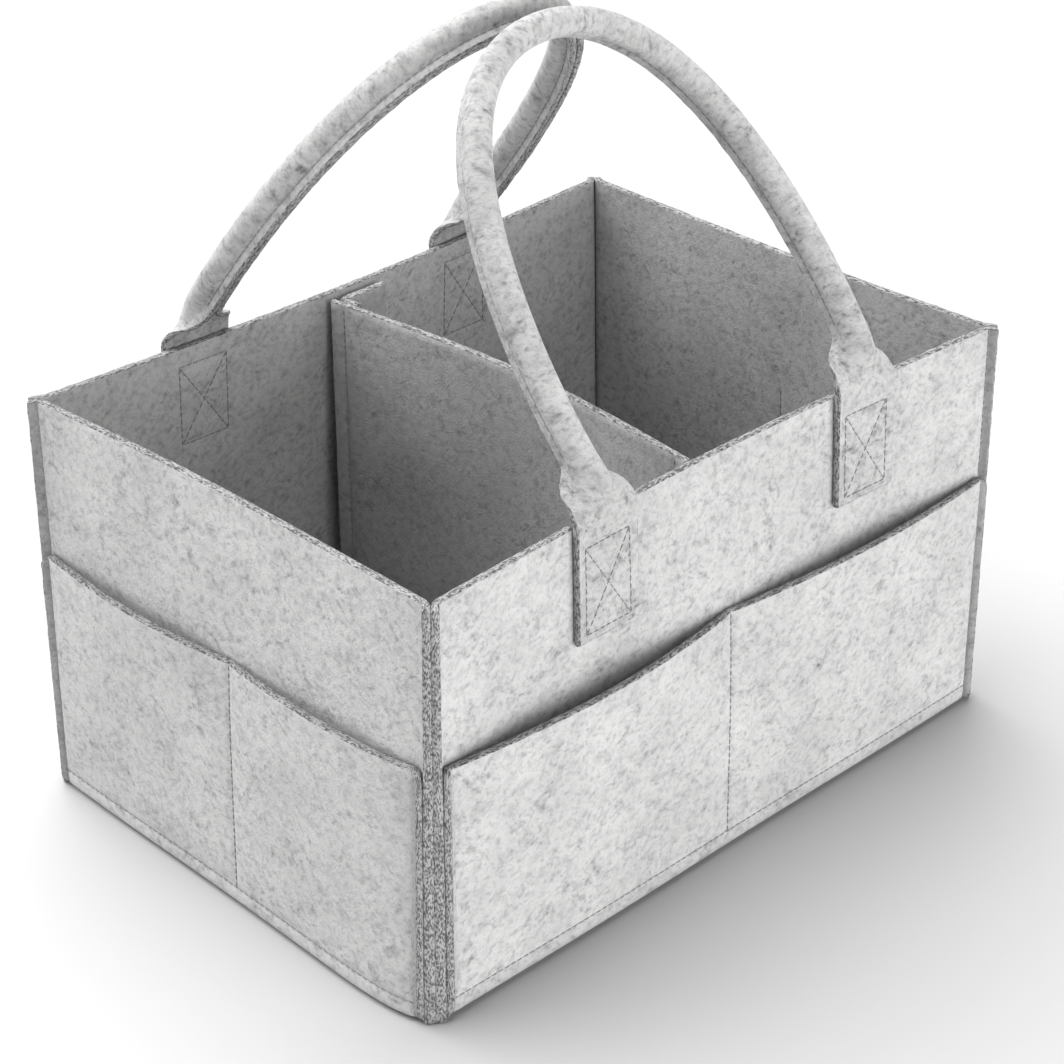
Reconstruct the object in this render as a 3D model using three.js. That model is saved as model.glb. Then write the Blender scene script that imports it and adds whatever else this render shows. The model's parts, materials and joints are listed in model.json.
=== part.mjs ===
// Felt caddy with two arched handles, outer pockets on all four sides and a lift-out divider.
// Millimetres, +Z up, origin at the middle of the footprint, on the surface that the caddy stands on.
// The long front wall faces -Y and the short left wall faces -X.
import * as THREE from "three";

// Driving dimensions: the felt box
const FELT = 3.4;
const INNER_LENGTH = 312;
const INNER_WIDTH = 222;
const HEIGHT = 180;
const LAY_GAP = 0.3; // clearance between two layers of felt that lie on each other

// Corner seams: panels turn out by 45 degrees and are sewn face to face
const SEAM_FIN = 6.5; // from the inner corner to the raw edge, along the diagonal
const SEAM_BEND = 8.5; // bend radius on the inner face, enough for two layers
const SEAM_FOOT = 1.5; // how far the raw edge is rounded off at the bottom
const SEAM_HEAD = 1; // and at the rim
const SEAM_ANGLE = Math.PI / 4;

// Slack of the felt: how far the rims lean in halfway between the corners, and how far the foot of
// each short side bellies out, most of all beside the front left and back right corners
const LONG_RIM_SLACK = 6;
const SHORT_RIM_SLACK = 2.5;
const FOOT_BELLY = 9.5;
const BELLY_FIRMNESS = 8; // power: how late the belly turns back in towards its corner

// Outer pockets: one panel a side, with a centre stitch that makes two pockets of it
const POCKET_HEIGHT = 112;
const POCKET_MOUTH = 7.5; // how far each mouth gapes at its middle
const POCKET_EASE = 1.5; // how gently the gape grows on the way up
const POCKET_LIP_DROP = 3; // the panel's top corners are trimmed down at the seams
const BASE_SEAM = 7; // height of the stitch line above the bottom edge

// Floor panel: its edges are turned down inside the walls
const FLOOR_RISE = 10;
const FLOOR_BEND = 5;
const FLOOR_CORNER = 12;

// Handles: a strip with flat sewn ends, rolled to a tube between them
const STRIP_WIDTH = 33;
const HANDLE_SPREAD = 74; // from the middle of the handle to the middle of a tab
const HANDLE_OFFSET = 4.5; // how far to the right of the wall's middle the handle is sewn on
const TAB_FOOT = 132; // height of a tab's lower edge
const TAB_RISE = 4; // how far a tab stands above the rim
const HANDLE_BEND = 9; // length of strip that bends in above the rim
const ARCH_HEIGHT = 175.5; // along the strip, from the hinge line to the top of the tube's middle line
const ARCH_BULGE = 9; // how far the legs lean apart before they close
const ARCH_LEG = 47; // reach of the leg's tangent
const ARCH_CROWN = 78.5; // reach of the crown's tangent
const TUBE_RADIUS = 4.2; // to the middle of the felt
const NECK_RADIUS = 3; // where the roll turns into the sewn edges
const ROLL_START = 1.5; // along the strip, from the hinge line
const ROLL_END = 26;
const HANDLE_MEETING_GAP = 2; // between the two handles where they lean together
const HINGE_GAP = 0.3;

// Divider: a partition with a folded angle strip at each end, held by hook and loop tape
const DIVIDER_OFFSET = -13; // from the middle of the caddy to the ends of the web
const DIVIDER_BOW = 8; // how far the web bows to the right halfway along
const DIVIDER_SKEW = 0.8; // how far its back end stands to the right of that, and its front end to the left
const DIVIDER_TOP = 178;
const FLANGE_WIDTH = 25; // along the wall
const FLANGE_WING = 8; // along the web, which it is sewn to
const FRONT_FLANGE_DROP = 4; // the front strip is cut this much lower than the web
const TAPE_OFFSET = 2.5; // from the middle of the caddy to the middle of the tapes
const TAPE_WIDTH = 20;
const TAPE_THICKNESS = 1.5;
const TAPE_FOOT = 45;
const TAPE_TOP = 165;

// Materials: one look per piece, in the photograph's greys
const FELT_LIGHT = 0xd2d2d1;
const FELT_SHADE = 0xb9b9b9;
const TAPE_GREY = 0x8f8f90;
const FELT_ROUGHNESS = 0.95;
const TAPE_ROUGHNESS = 0.85;

function felt(color) {
  return new THREE.MeshStandardMaterial({ color, roughness: FELT_ROUGHNESS });
}

function tape() {
  return new THREE.MeshStandardMaterial({ color: TAPE_GREY, roughness: TAPE_ROUGHNESS });
}

// A closed sheet: two faces of (columns x rows) points, back(i, j) and front(i, j), joined round
// their borders. Columns run to the right and rows run up, as seen from the front.
function sheet(columns, rows, back, front) {
  const positions = [];
  const index = [];
  const at = (face, i, j) => (face * rows + j) * columns + i;
  for (const face of [back, front]) {
    for (let j = 0; j < rows; j += 1) {
      for (let i = 0; i < columns; i += 1) {
        positions.push(...face(i, j).toArray());
      }
    }
  }
  const quad = (a, b, c, d) => index.push(a, b, c, a, c, d);
  for (let j = 0; j + 1 < rows; j += 1) {
    for (let i = 0; i + 1 < columns; i += 1) {
      quad(at(1, i, j), at(1, i + 1, j), at(1, i + 1, j + 1), at(1, i, j + 1));
      quad(at(0, i, j), at(0, i, j + 1), at(0, i + 1, j + 1), at(0, i + 1, j));
    }
  }
  const right = columns - 1;
  const top = rows - 1;
  for (let i = 0; i < right; i += 1) {
    quad(at(0, i, 0), at(0, i + 1, 0), at(1, i + 1, 0), at(1, i, 0));
    quad(at(1, i, top), at(1, i + 1, top), at(0, i + 1, top), at(0, i, top));
  }
  for (let j = 0; j < top; j += 1) {
    quad(at(0, 0, j), at(1, 0, j), at(1, 0, j + 1), at(0, 0, j + 1));
    quad(at(1, right, j), at(0, right, j), at(0, right, j + 1), at(1, right, j + 1));
  }
  const geometry = new THREE.BufferGeometry();
  geometry.setAttribute("position", new THREE.Float32BufferAttribute(positions, 3));
  geometry.setIndex(index);
  geometry.computeVertexNormals();
  return geometry;
}

const caddy = new THREE.Group();

function add(name, geometry, material) {
  const mesh = new THREE.Mesh(geometry, material);
  mesh.name = name;
  caddy.add(mesh);
}

// The four sides. On each, "along" runs to the right as seen from outside and "outward" leaves the caddy.
const UP = new THREE.Vector3(0, 0, 1);

function makeSide(name, outward, innerSpan, innerDepth, slack) {
  return {
    name,
    outward,
    along: new THREE.Vector3().crossVectors(UP, outward),
    half: innerSpan / 2,
    depth: innerDepth / 2,
    slack,
  };
}

const FRONT = makeSide("front", new THREE.Vector3(0, -1, 0), INNER_LENGTH, INNER_WIDTH, LONG_RIM_SLACK);
const BACK = makeSide("back", new THREE.Vector3(0, 1, 0), INNER_LENGTH, INNER_WIDTH, LONG_RIM_SLACK);
const LEFT = makeSide("left", new THREE.Vector3(-1, 0, 0), INNER_WIDTH, INNER_LENGTH, SHORT_RIM_SLACK);
const RIGHT = makeSide("right", new THREE.Vector3(1, 0, 0), INNER_WIDTH, INNER_LENGTH, SHORT_RIM_SLACK);
const SIDES = [FRONT, BACK, LEFT, RIGHT];

// How far a wall leans in at a place along it and a height
function lean(side, u, z) {
  return side.slack * (1 - (u / side.half) ** 2) * (z / HEIGHT) ** 2;
}

// Belly of the short sides: it grows towards the foot and along the side, then turns in at the corner
const BELLY_REACH = INNER_WIDTH / 2 + SEAM_BEND;

function settled(point) {
  const low = Math.max(1 - point.z / HEIGHT, 0);
  const along = (Math.sign(point.x) * point.y) / BELLY_REACH;
  const belly = ((1 + along) / 2) * Math.max(1 - along ** BELLY_FIRMNESS, 0);
  point.x += FOOT_BELLY * low * belly * (point.x / (INNER_LENGTH / 2));
  return point;
}

// A point on a side: along it, up, and outward from the wall's inner face
function onSide(side, u, z, out) {
  const point = side.along.clone().multiplyScalar(u);
  point.addScaledVector(side.outward, side.depth + out - lean(side, u, z));
  point.z = z;
  return settled(point);
}

// Layers of a side, counted outward from the corner seam's middle plane
const WALL_BACK = LAY_GAP / 2;
const WALL_FACE = WALL_BACK + FELT;
const POCKET_BACK = WALL_FACE + LAY_GAP;
const POCKET_FACE = POCKET_BACK + FELT;

// Plan line of one layer, from corner to corner: seam fin, bend, straight run, bend, seam fin.
// Each station holds its corner (-1, 0 or 1), the turn of the bend there and its share of the fin.
const BEND_TANGENT = SEAM_BEND * Math.tan(SEAM_ANGLE / 2);
const BEND_STEPS = 3;

function seamStations(corner) {
  const stations = [{ corner, turn: SEAM_ANGLE, fin: 1 }];
  for (let k = BEND_STEPS; k > 0; k -= 1) {
    stations.push({ corner, turn: (SEAM_ANGLE * k) / BEND_STEPS, fin: 0 });
  }
  return corner < 0 ? stations : stations.reverse();
}

function planStations(runSteps) {
  const run = [];
  for (let k = 0; k <= runSteps; k += 1) {
    run.push({ corner: 0, share: (2 * k) / runSteps - 1 });
  }
  return [...seamStations(-1), ...run, ...seamStations(1)];
}

function runHalf(side) {
  return side.half - BEND_TANGENT;
}

// Point of a layer at a station: out is the layer's distance from the seam's middle plane
function layerPoint(side, station, z, out) {
  if (station.corner === 0) {
    return onSide(side, station.share * runHalf(side), z, out);
  }
  const radius = SEAM_BEND - out;
  const reach = station.fin * (SEAM_FIN - BEND_TANGENT);
  const u = runHalf(side) + radius * Math.sin(station.turn) + reach * Math.cos(SEAM_ANGLE);
  const n = side.depth + SEAM_BEND - radius * Math.cos(station.turn) + reach * Math.sin(SEAM_ANGLE);
  const point = side.along.clone().multiplyScalar(station.corner * u);
  point.addScaledVector(side.outward, n);
  point.z = z;
  return settled(point);
}

// How far round into the seam a station is: 0 on the straight run, 1 at the raw edge
function seamShare(station) {
  return station.corner === 0 ? 0 : (station.turn / SEAM_ANGLE + station.fin) / 2;
}

// Walls: plain panels that lean in a little at the rim
const WALL_RUN_STEPS = 24;
const WALL_ROWS = 6;

function wallGeometry(side) {
  const stations = planStations(WALL_RUN_STEPS);
  const height = (i, j) => {
    const seam = seamShare(stations[i]) ** 2;
    return THREE.MathUtils.lerp(SEAM_FOOT * seam, HEIGHT - SEAM_HEAD * seam, j / (WALL_ROWS - 1));
  };
  return sheet(
    stations.length,
    WALL_ROWS,
    (i, j) => layerPoint(side, stations[i], height(i, j), WALL_BACK),
    (i, j) => layerPoint(side, stations[i], height(i, j), WALL_FACE),
  );
}

// Pocket panels: held at the seams, along the base and by the centre stitch, and gaping between
const POCKET_RUN_STEPS = 24;
const POCKET_ROWS = 7;

function pocketGape(station, z) {
  if (station.corner !== 0 || z <= BASE_SEAM) {
    return 0;
  }
  const rise = (z - BASE_SEAM) / (POCKET_HEIGHT - BASE_SEAM);
  return POCKET_MOUTH * Math.abs(Math.sin(Math.PI * station.share)) * rise ** POCKET_EASE;
}

// Rows of a pocket: the raw edge at the foot, the base stitch, then even steps up to the lip
function pocketGeometry(side) {
  const stations = planStations(POCKET_RUN_STEPS);
  const height = (i, j) => {
    const seam = seamShare(stations[i]) ** 2;
    if (j === 0) {
      return SEAM_FOOT * seam;
    }
    const lip = POCKET_HEIGHT - POCKET_LIP_DROP * seam;
    return THREE.MathUtils.lerp(BASE_SEAM, lip, (j - 1) / (POCKET_ROWS - 2));
  };
  const face = (out) => (i, j) => {
    const z = height(i, j);
    return layerPoint(side, stations[i], z, out + pocketGape(stations[i], z));
  };
  return sheet(stations.length, POCKET_ROWS, face(POCKET_BACK), face(POCKET_FACE));
}

for (const side of SIDES) {
  add(`${side.name}_wall`, wallGeometry(side), felt(FELT_SHADE));
  add(`${side.name}_pocket`, pocketGeometry(side), felt(FELT_LIGHT));
}

// Floor panel: a shallow tray with its edges turned down, made as rings of a rounded rectangle.
// A ring is given by its inset from the walls and its height.
const FLOOR_CORNER_STEPS = 4;
const FLOOR_BEND_STEPS = 3;

function floorRing(inset, z) {
  const halfX = INNER_LENGTH / 2 + WALL_BACK - LAY_GAP - inset;
  const halfY = INNER_WIDTH / 2 + WALL_BACK - LAY_GAP - inset;
  const radius = FLOOR_CORNER - inset;
  const ring = [];
  for (let corner = 0; corner < 4; corner += 1) {
    const signX = corner === 0 || corner === 3 ? 1 : -1;
    const signY = corner < 2 ? 1 : -1;
    for (let k = 0; k <= FLOOR_CORNER_STEPS; k += 1) {
      const angle = (Math.PI / 2) * (corner + k / FLOOR_CORNER_STEPS);
      const x = signX * (halfX - radius) + radius * Math.cos(angle);
      const y = signY * (halfY - radius) + radius * Math.sin(angle);
      ring.push(settled(new THREE.Vector3(x, y, z)));
    }
  }
  return ring;
}

// The turned edge, from its lower end up round the bend to the flat floor
function floorBend(inset, radius, top) {
  const rings = [floorRing(inset, 0)];
  for (let k = 0; k <= FLOOR_BEND_STEPS; k += 1) {
    const angle = (Math.PI / 2) * (k / FLOOR_BEND_STEPS);
    rings.push(floorRing(inset + radius * (1 - Math.cos(angle)), top - radius * (1 - Math.sin(angle))));
  }
  return rings;
}

function floorGeometry() {
  const upper = floorBend(0, FLOOR_BEND, FLOOR_RISE + FELT);
  const under = floorBend(FELT, FLOOR_BEND - FELT, FLOOR_RISE);
  const rings = [...under.reverse(), ...upper];
  const count = rings[0].length;
  const positions = rings.flat().flatMap((point) => point.toArray());
  const index = [];
  for (let r = 0; r + 1 < rings.length; r += 1) {
    for (let k = 0; k < count; k += 1) {
      const next = (k + 1) % count;
      const [a, b] = [r * count + k, r * count + next];
      index.push(a, b, b + count, a, b + count, a + count);
    }
  }
  const lid = (ring, first, facingUp) => {
    const outline = ring.map((point) => new THREE.Vector2(point.x, point.y));
    for (const [a, b, c] of THREE.ShapeUtils.triangulateShape(outline, [])) {
      index.push(first + a, first + (facingUp ? b : c), first + (facingUp ? c : b));
    }
  };
  lid(rings[0], 0, false);
  lid(rings[rings.length - 1], (rings.length - 1) * count, true);
  const geometry = new THREE.BufferGeometry();
  geometry.setAttribute("position", new THREE.Float32BufferAttribute(positions, 3));
  geometry.setIndex(index);
  geometry.computeVertexNormals();
  return geometry;
}

add("base_panel", floorGeometry(), felt(FELT_SHADE));

// Handle tabs: flat strip ends on the outside of the long walls
const TAB_STEPS = 4;
const TAB_TOP = HEIGHT + TAB_RISE;
const TAB_FACE = POCKET_FACE;

function tabGeometry(side, middle) {
  const place = (out) => (i, j) => {
    const u = middle + STRIP_WIDTH * (i / TAB_STEPS - 0.5);
    const z = TAB_FOOT + (TAB_TOP - TAB_FOOT) * (j / TAB_STEPS);
    return onSide(side, u, z, out);
  };
  return sheet(TAB_STEPS + 1, TAB_STEPS + 1, place(POCKET_BACK), place(TAB_FACE));
}

// Section of the strip: half of its middle line, from the middle of the strip to its raw edge, as bends.
// Rolled up it is a tube with its two edges sewn together, and less roll opens it out flat.
const HALF_STRIP = STRIP_WIDTH / 2;
const NECK_HALF = (FELT + LAY_GAP) / 2;
const NECK_TURN = Math.acos((NECK_HALF + NECK_RADIUS) / (TUBE_RADIUS + NECK_RADIUS));
const TUBE_TURN = Math.PI / 2 + NECK_TURN;
const TUBE_RUN = TUBE_RADIUS * TUBE_TURN;
const NECK_RUN = NECK_RADIUS * NECK_TURN;
const TUBE_STEPS = 5;
const NECK_STEPS = 2;

function halfStripBends() {
  const bends = [];
  for (let k = 0; k < TUBE_STEPS; k += 1) {
    bends.push({ run: TUBE_RUN / TUBE_STEPS, turn: TUBE_TURN / TUBE_STEPS });
  }
  for (let k = 0; k < NECK_STEPS; k += 1) {
    bends.push({ run: NECK_RUN / NECK_STEPS, turn: -NECK_TURN / NECK_STEPS });
  }
  bends.push({ run: HALF_STRIP - TUBE_RUN - NECK_RUN, turn: 0 });
  return bends;
}

const BENDS = halfStripBends();

// Points of the section: across the strip, and behind its outer face, for the face at a distance behind it
function sectionPoints(roll, behind) {
  const half = [];
  let across = 0;
  let back = FELT / 2;
  let heading = 0;
  const push = () => {
    const out = behind - FELT / 2;
    half.push(new THREE.Vector2(across - out * Math.sin(heading), back + out * Math.cos(heading)));
  };
  push();
  for (const { run, turn } of BENDS) {
    const middle = heading + (turn * roll) / 2;
    across += run * Math.cos(middle);
    back += run * Math.sin(middle);
    heading += turn * roll;
    push();
  }
  const mirrored = half.slice(1).reverse().map((point) => new THREE.Vector2(-point.x, point.y));
  return [...mirrored, ...half];
}

// Hinge line of a handle: along the rim, on the outermost line of its tabs
const TAB_OUTER_EDGE = HANDLE_OFFSET + HANDLE_SPREAD + HALF_STRIP;
const TAB_EDGE_LEAN = lean(FRONT, TAB_OUTER_EDGE, TAB_TOP);
const HINGE_OUT = FRONT.depth + TAB_FACE - TAB_EDGE_LEAN + HINGE_GAP;
const TAB_SLOPE = (lean(FRONT, TAB_OUTER_EDGE - STRIP_WIDTH, TAB_TOP) - TAB_EDGE_LEAN) / STRIP_WIDTH;

// The strip stands upright at the rim and bends in over a short length, then runs on straight:
// its slant, and how far in and up it has come, at a reach along it from the hinge line
function wayUp(reach, fullLean) {
  const slant = fullLean * THREE.MathUtils.clamp(reach / HANDLE_BEND, 0, 1);
  const radius = HANDLE_BEND / fullLean;
  const beyond = Math.max(reach - HANDLE_BEND, 0);
  return {
    slant,
    inward: radius * (1 - Math.cos(slant)) + beyond * Math.sin(fullLean),
    up: radius * Math.sin(slant) + beyond * Math.cos(fullLean),
  };
}

// The handles lean in until their sewn edges meet over the middle of the caddy
const MEETING_REACH = HINGE_OUT - HANDLE_MEETING_GAP / 2;
const CROWN_SECTION = [0, FELT].flatMap((behind) => sectionPoints(1, behind));
const LEAN_HALVINGS = 40;

function crownReach(fullLean) {
  const reaches = CROWN_SECTION.map((point) => {
    const { slant, inward } = wayUp(ARCH_HEIGHT + point.x, fullLean);
    return inward + point.y * Math.cos(slant);
  });
  return Math.max(...reaches);
}

function meetingLean() {
  let [low, high] = [0, Math.PI / 2];
  for (let k = 0; k < LEAN_HALVINGS; k += 1) {
    const middle = (low + high) / 2;
    if (crownReach(middle) < MEETING_REACH) {
      low = middle;
    } else {
      high = middle;
    }
  }
  return low;
}

const HANDLE_LEAN = meetingLean();

// Middle line of a handle in its own plane: two mirrored halves, from hinge line to hinge line
const ARCH = new THREE.CurvePath();
ARCH.add(
  new THREE.CubicBezierCurve(
    new THREE.Vector2(-HANDLE_SPREAD, 0),
    new THREE.Vector2(-HANDLE_SPREAD - ARCH_BULGE, ARCH_LEG),
    new THREE.Vector2(-ARCH_CROWN, ARCH_HEIGHT),
    new THREE.Vector2(0, ARCH_HEIGHT),
  ),
);
ARCH.add(
  new THREE.CubicBezierCurve(
    new THREE.Vector2(0, ARCH_HEIGHT),
    new THREE.Vector2(ARCH_CROWN, ARCH_HEIGHT),
    new THREE.Vector2(HANDLE_SPREAD + ARCH_BULGE, ARCH_LEG),
    new THREE.Vector2(HANDLE_SPREAD, 0),
  ),
);
const ARCH_LENGTH = ARCH.getLength();

// Stations along the strip: close together where it rolls up, wider along the tube
const ROLL_STEPS = 7;
const TUBE_STATIONS = 22;

function archStations() {
  const stations = [];
  for (let k = 0; k < ROLL_STEPS; k += 1) {
    stations.push((ROLL_END * k) / ROLL_STEPS);
  }
  for (let k = 0; k <= TUBE_STATIONS; k += 1) {
    stations.push(ROLL_END + ((ARCH_LENGTH - 2 * ROLL_END) * k) / TUBE_STATIONS);
  }
  for (let k = ROLL_STEPS - 1; k >= 0; k -= 1) {
    stations.push(ARCH_LENGTH - (ROLL_END * k) / ROLL_STEPS);
  }
  return stations;
}

function loopGeometry(side) {
  const stations = archStations();
  const faces = [];
  for (const behind of [FELT, 0]) {
    const rows = stations.map((s) => {
      const fromHinge = Math.min(s, ARCH_LENGTH - s);
      const rolled = THREE.MathUtils.clamp((fromHinge - ROLL_START) / (ROLL_END - ROLL_START), 0, 1);
      const roll = Math.sin((Math.PI / 2) * rolled);
      const square = THREE.MathUtils.smoothstep(fromHinge, 0, ROLL_END);
      const middle = ARCH.getPointAt(s / ARCH_LENGTH);
      const tangent = ARCH.getTangentAt(s / ARCH_LENGTH);
      const level = new THREE.Vector2(s < ARCH_LENGTH / 2 ? 1 : -1, 0);
      const across = level.lerp(new THREE.Vector2(tangent.y, -tangent.x), square).normalize();
      return sectionPoints(roll, behind).map((point) => {
        const skew = TAB_SLOPE * (point.x + HALF_STRIP) * (1 - square);
        const x = middle.x + point.x * across.x;
        const reach = middle.y + point.x * across.y;
        return handlePoint(side, x, Math.max(reach, HINGE_GAP), point.y, skew);
      });
    });
    faces.push(rows);
  }
  const columns = faces[0][0].length;
  return sheet(columns, stations.length, (i, j) => faces[0][j][i], (i, j) => faces[1][j][i]);
}

// A point of a handle: along the hinge line, at a reach along the strip and behind its outer face.
// The sideways offset of the tabs dies out towards the crown, where the two handles meet.
function handlePoint(side, x, reach, behind, skew) {
  const { slant, inward, up } = wayUp(reach, HANDLE_LEAN);
  const point = side.along.clone().multiplyScalar(x + HANDLE_OFFSET * (1 - reach / ARCH_HEIGHT));
  point.addScaledVector(side.outward, HINGE_OUT - inward - behind * Math.cos(slant) - skew);
  point.z = TAB_TOP + up - behind * Math.sin(slant);
  return point;
}

for (const side of [FRONT, BACK]) {
  const leftward = -side.along.x * HANDLE_SPREAD;
  add(`${side.name}_handle_tab_left`, tabGeometry(side, HANDLE_OFFSET + leftward), felt(FELT_LIGHT));
  add(`${side.name}_handle_tab_right`, tabGeometry(side, HANDLE_OFFSET - leftward), felt(FELT_LIGHT));
  add(`${side.name}_handle_loop`, loopGeometry(side), felt(FELT_LIGHT));
}

// Divider: stands on the floor and clears the rims, so that it can be lifted straight out
const DIVIDER_FOOT = FLOOR_RISE + FELT + LAY_GAP;
const LOOP_FACE = WALL_BACK - LAY_GAP - TAPE_THICKNESS;
const TAPE_STEPS = 4;

function dividerBlock(x0, x1, y0, y1, z0, z1) {
  const block = new THREE.BoxGeometry(x1 - x0, y1 - y0, z1 - z0);
  return block.translate((x0 + x1) / 2, (y0 + y1) / 2, (z0 + z1) / 2);
}

function loopTapeGeometry(side) {
  const middle = side.along.x * TAPE_OFFSET;
  const place = (out) => (i, j) => {
    const u = middle + TAPE_WIDTH * (i - 0.5);
    return onSide(side, u, TAPE_FOOT + (TAPE_TOP - TAPE_FOOT) * (j / TAPE_STEPS), out);
  };
  return sheet(2, TAPE_STEPS + 1, place(LOOP_FACE), place(WALL_BACK - LAY_GAP));
}

// Planes of the divider's layers, measured outward from the middle of the caddy
const HOOK_FACE = INNER_WIDTH / 2 + LOOP_FACE - lean(FRONT, 0, TAPE_TOP) - LAY_GAP;
const HOOK_BACK = HOOK_FACE - TAPE_THICKNESS;
const FLANGE_FACE = HOOK_BACK - LAY_GAP;
const FLANGE_BACK = FLANGE_FACE - FELT;
const WEB_END = FLANGE_FACE;
const WEB_STEPS = 12;

// Plan line of the web, which is a little longer than the caddy is wide and so stands in a bow
function webMiddle(y) {
  const share = y / WEB_END;
  return DIVIDER_OFFSET + DIVIDER_SKEW * share + DIVIDER_BOW * Math.cos((Math.PI / 2) * share);
}

function webGeometry() {
  const place = (out) => (i, j) => {
    const y = WEB_END * ((2 * i) / WEB_STEPS - 1);
    return new THREE.Vector3(webMiddle(y) + out, y, j === 0 ? DIVIDER_FOOT : DIVIDER_TOP);
  };
  return sheet(WEB_STEPS + 1, 2, place(-FELT / 2), place(FELT / 2));
}

add("divider_web", webGeometry(), felt(FELT_SHADE));

// Angle strip: its wing lies on the web's right face and is folded round on to the wall
const WING_STEPS = 3;
const FOLD_STEPS = 4;

function angleStripGeometry(outward, top) {
  const wingSide = (y) => webMiddle(outward * y) + FELT / 2 + LAY_GAP;
  const wing = [];
  for (let k = 0; k <= WING_STEPS; k += 1) {
    const y = FLANGE_BACK - FLANGE_WING * (1 - k / WING_STEPS);
    wing.push(new THREE.Vector2(wingSide(y), y));
  }
  const fold = wingSide(FLANGE_BACK) + FELT;
  const outline = wing.map((point) => new THREE.Vector2(point.x + FELT, point.y)).reverse();
  outline.push(...wing);
  for (let k = 1; k <= FOLD_STEPS; k += 1) {
    const turn = (Math.PI / 2) * (k / FOLD_STEPS);
    outline.push(new THREE.Vector2(fold - FELT * Math.cos(turn), FLANGE_BACK + FELT * Math.sin(turn)));
  }
  outline.push(new THREE.Vector2(fold - FELT + FLANGE_WIDTH, FLANGE_FACE));
  outline.push(new THREE.Vector2(fold - FELT + FLANGE_WIDTH, FLANGE_BACK));
  const shape = new THREE.Shape(outline.map((point) => new THREE.Vector2(point.x, outward * point.y)));
  const strip = new THREE.ExtrudeGeometry(shape, { depth: top - DIVIDER_FOOT, bevelEnabled: false });
  return strip.translate(0, 0, DIVIDER_FOOT);
}

for (const side of [FRONT, BACK]) {
  const outward = side.outward.y;
  const [hookLow, hookHigh] = [outward * HOOK_BACK, outward * HOOK_FACE].sort((a, b) => a - b);
  const hookLeft = TAPE_OFFSET - TAPE_WIDTH / 2;
  const flangeTop = side === FRONT ? DIVIDER_TOP - FRONT_FLANGE_DROP : DIVIDER_TOP;
  add(`divider_${side.name}_flange`, angleStripGeometry(outward, flangeTop), felt(FELT_SHADE));
  add(
    `divider_${side.name}_hook_tape`,
    dividerBlock(hookLeft, hookLeft + TAPE_WIDTH, hookLow, hookHigh, TAPE_FOOT, TAPE_TOP),
    tape(),
  );
  add(`${side.name}_loop_tape`, loopTapeGeometry(side), tape());
}

export default caddy;
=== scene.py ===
import json
import math

import bpy
import numpy as np
from mathutils import Euler, Matrix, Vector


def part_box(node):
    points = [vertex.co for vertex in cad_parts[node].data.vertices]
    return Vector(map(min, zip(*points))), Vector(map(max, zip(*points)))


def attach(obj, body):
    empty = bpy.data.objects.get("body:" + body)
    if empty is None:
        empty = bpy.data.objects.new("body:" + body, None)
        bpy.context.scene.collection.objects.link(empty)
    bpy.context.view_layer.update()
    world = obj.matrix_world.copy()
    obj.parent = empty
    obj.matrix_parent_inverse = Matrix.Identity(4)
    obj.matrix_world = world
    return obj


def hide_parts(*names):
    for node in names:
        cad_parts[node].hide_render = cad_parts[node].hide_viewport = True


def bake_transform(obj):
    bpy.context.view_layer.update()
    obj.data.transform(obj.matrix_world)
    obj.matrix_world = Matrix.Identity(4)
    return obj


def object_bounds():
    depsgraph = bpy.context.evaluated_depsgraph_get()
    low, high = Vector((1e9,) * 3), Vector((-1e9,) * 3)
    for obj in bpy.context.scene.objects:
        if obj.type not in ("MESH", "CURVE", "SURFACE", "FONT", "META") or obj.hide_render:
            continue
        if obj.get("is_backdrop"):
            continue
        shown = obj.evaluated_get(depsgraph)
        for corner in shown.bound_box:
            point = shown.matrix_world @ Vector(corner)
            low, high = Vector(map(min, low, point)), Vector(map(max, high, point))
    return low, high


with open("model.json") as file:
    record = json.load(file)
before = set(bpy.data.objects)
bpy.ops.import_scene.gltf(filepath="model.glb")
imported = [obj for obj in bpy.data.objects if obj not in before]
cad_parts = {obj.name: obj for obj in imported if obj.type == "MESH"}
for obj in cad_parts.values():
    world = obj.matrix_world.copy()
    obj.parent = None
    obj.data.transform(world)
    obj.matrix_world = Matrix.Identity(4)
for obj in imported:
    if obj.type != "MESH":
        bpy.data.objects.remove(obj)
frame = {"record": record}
cad_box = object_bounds()


# Wall panels: four pieces of thick pressed felt, cut flat and left raw at every edge. Each turns out at
# its ends, where two neighbours are sewn face to face, so a narrow two-layer fin stands out from every
# corner. The rims hang in a little between the corners, and the short sides belly out at their foot.
FELT = 0.0034  # thickness
LAY = 0.0003  # air between two layers that lie on each other
EDGE = 0.0006  # how far a cut edge is rounded by wear
EASE = 0.0006  # how far a panel strays from flat
HALF_X, HALF_Y, HEIGHT = 0.156, 0.111, 0.180
FOOT_BELLY = 0.0095  # how far a short side bellies out at its foot
BELLY_FIRMNESS = 8  # power: how late the belly turns back in towards its corner
BEND = 0.0085  # radius of the turn at each end, on the inner face
BEND_RUN = BEND * math.pi / 4
FIN = 0.0065 - BEND * math.tan(math.pi / 8)
SEAM_FOOT, SEAM_HEAD = 0.0004, 0.001  # how far the raw edges of a fin are rounded off below and above
FIN_STITCH = 0.0045  # from a fin's raw edge to its seam
FIN_DRAW = 0.6  # how far the seam draws each layer of a fin in, in parts of LAY
WALL_BACK = LAY / 2
WALL_FACE = WALL_BACK + FELT
UP = np.array((0.0, 0.0, 1.0))

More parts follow.
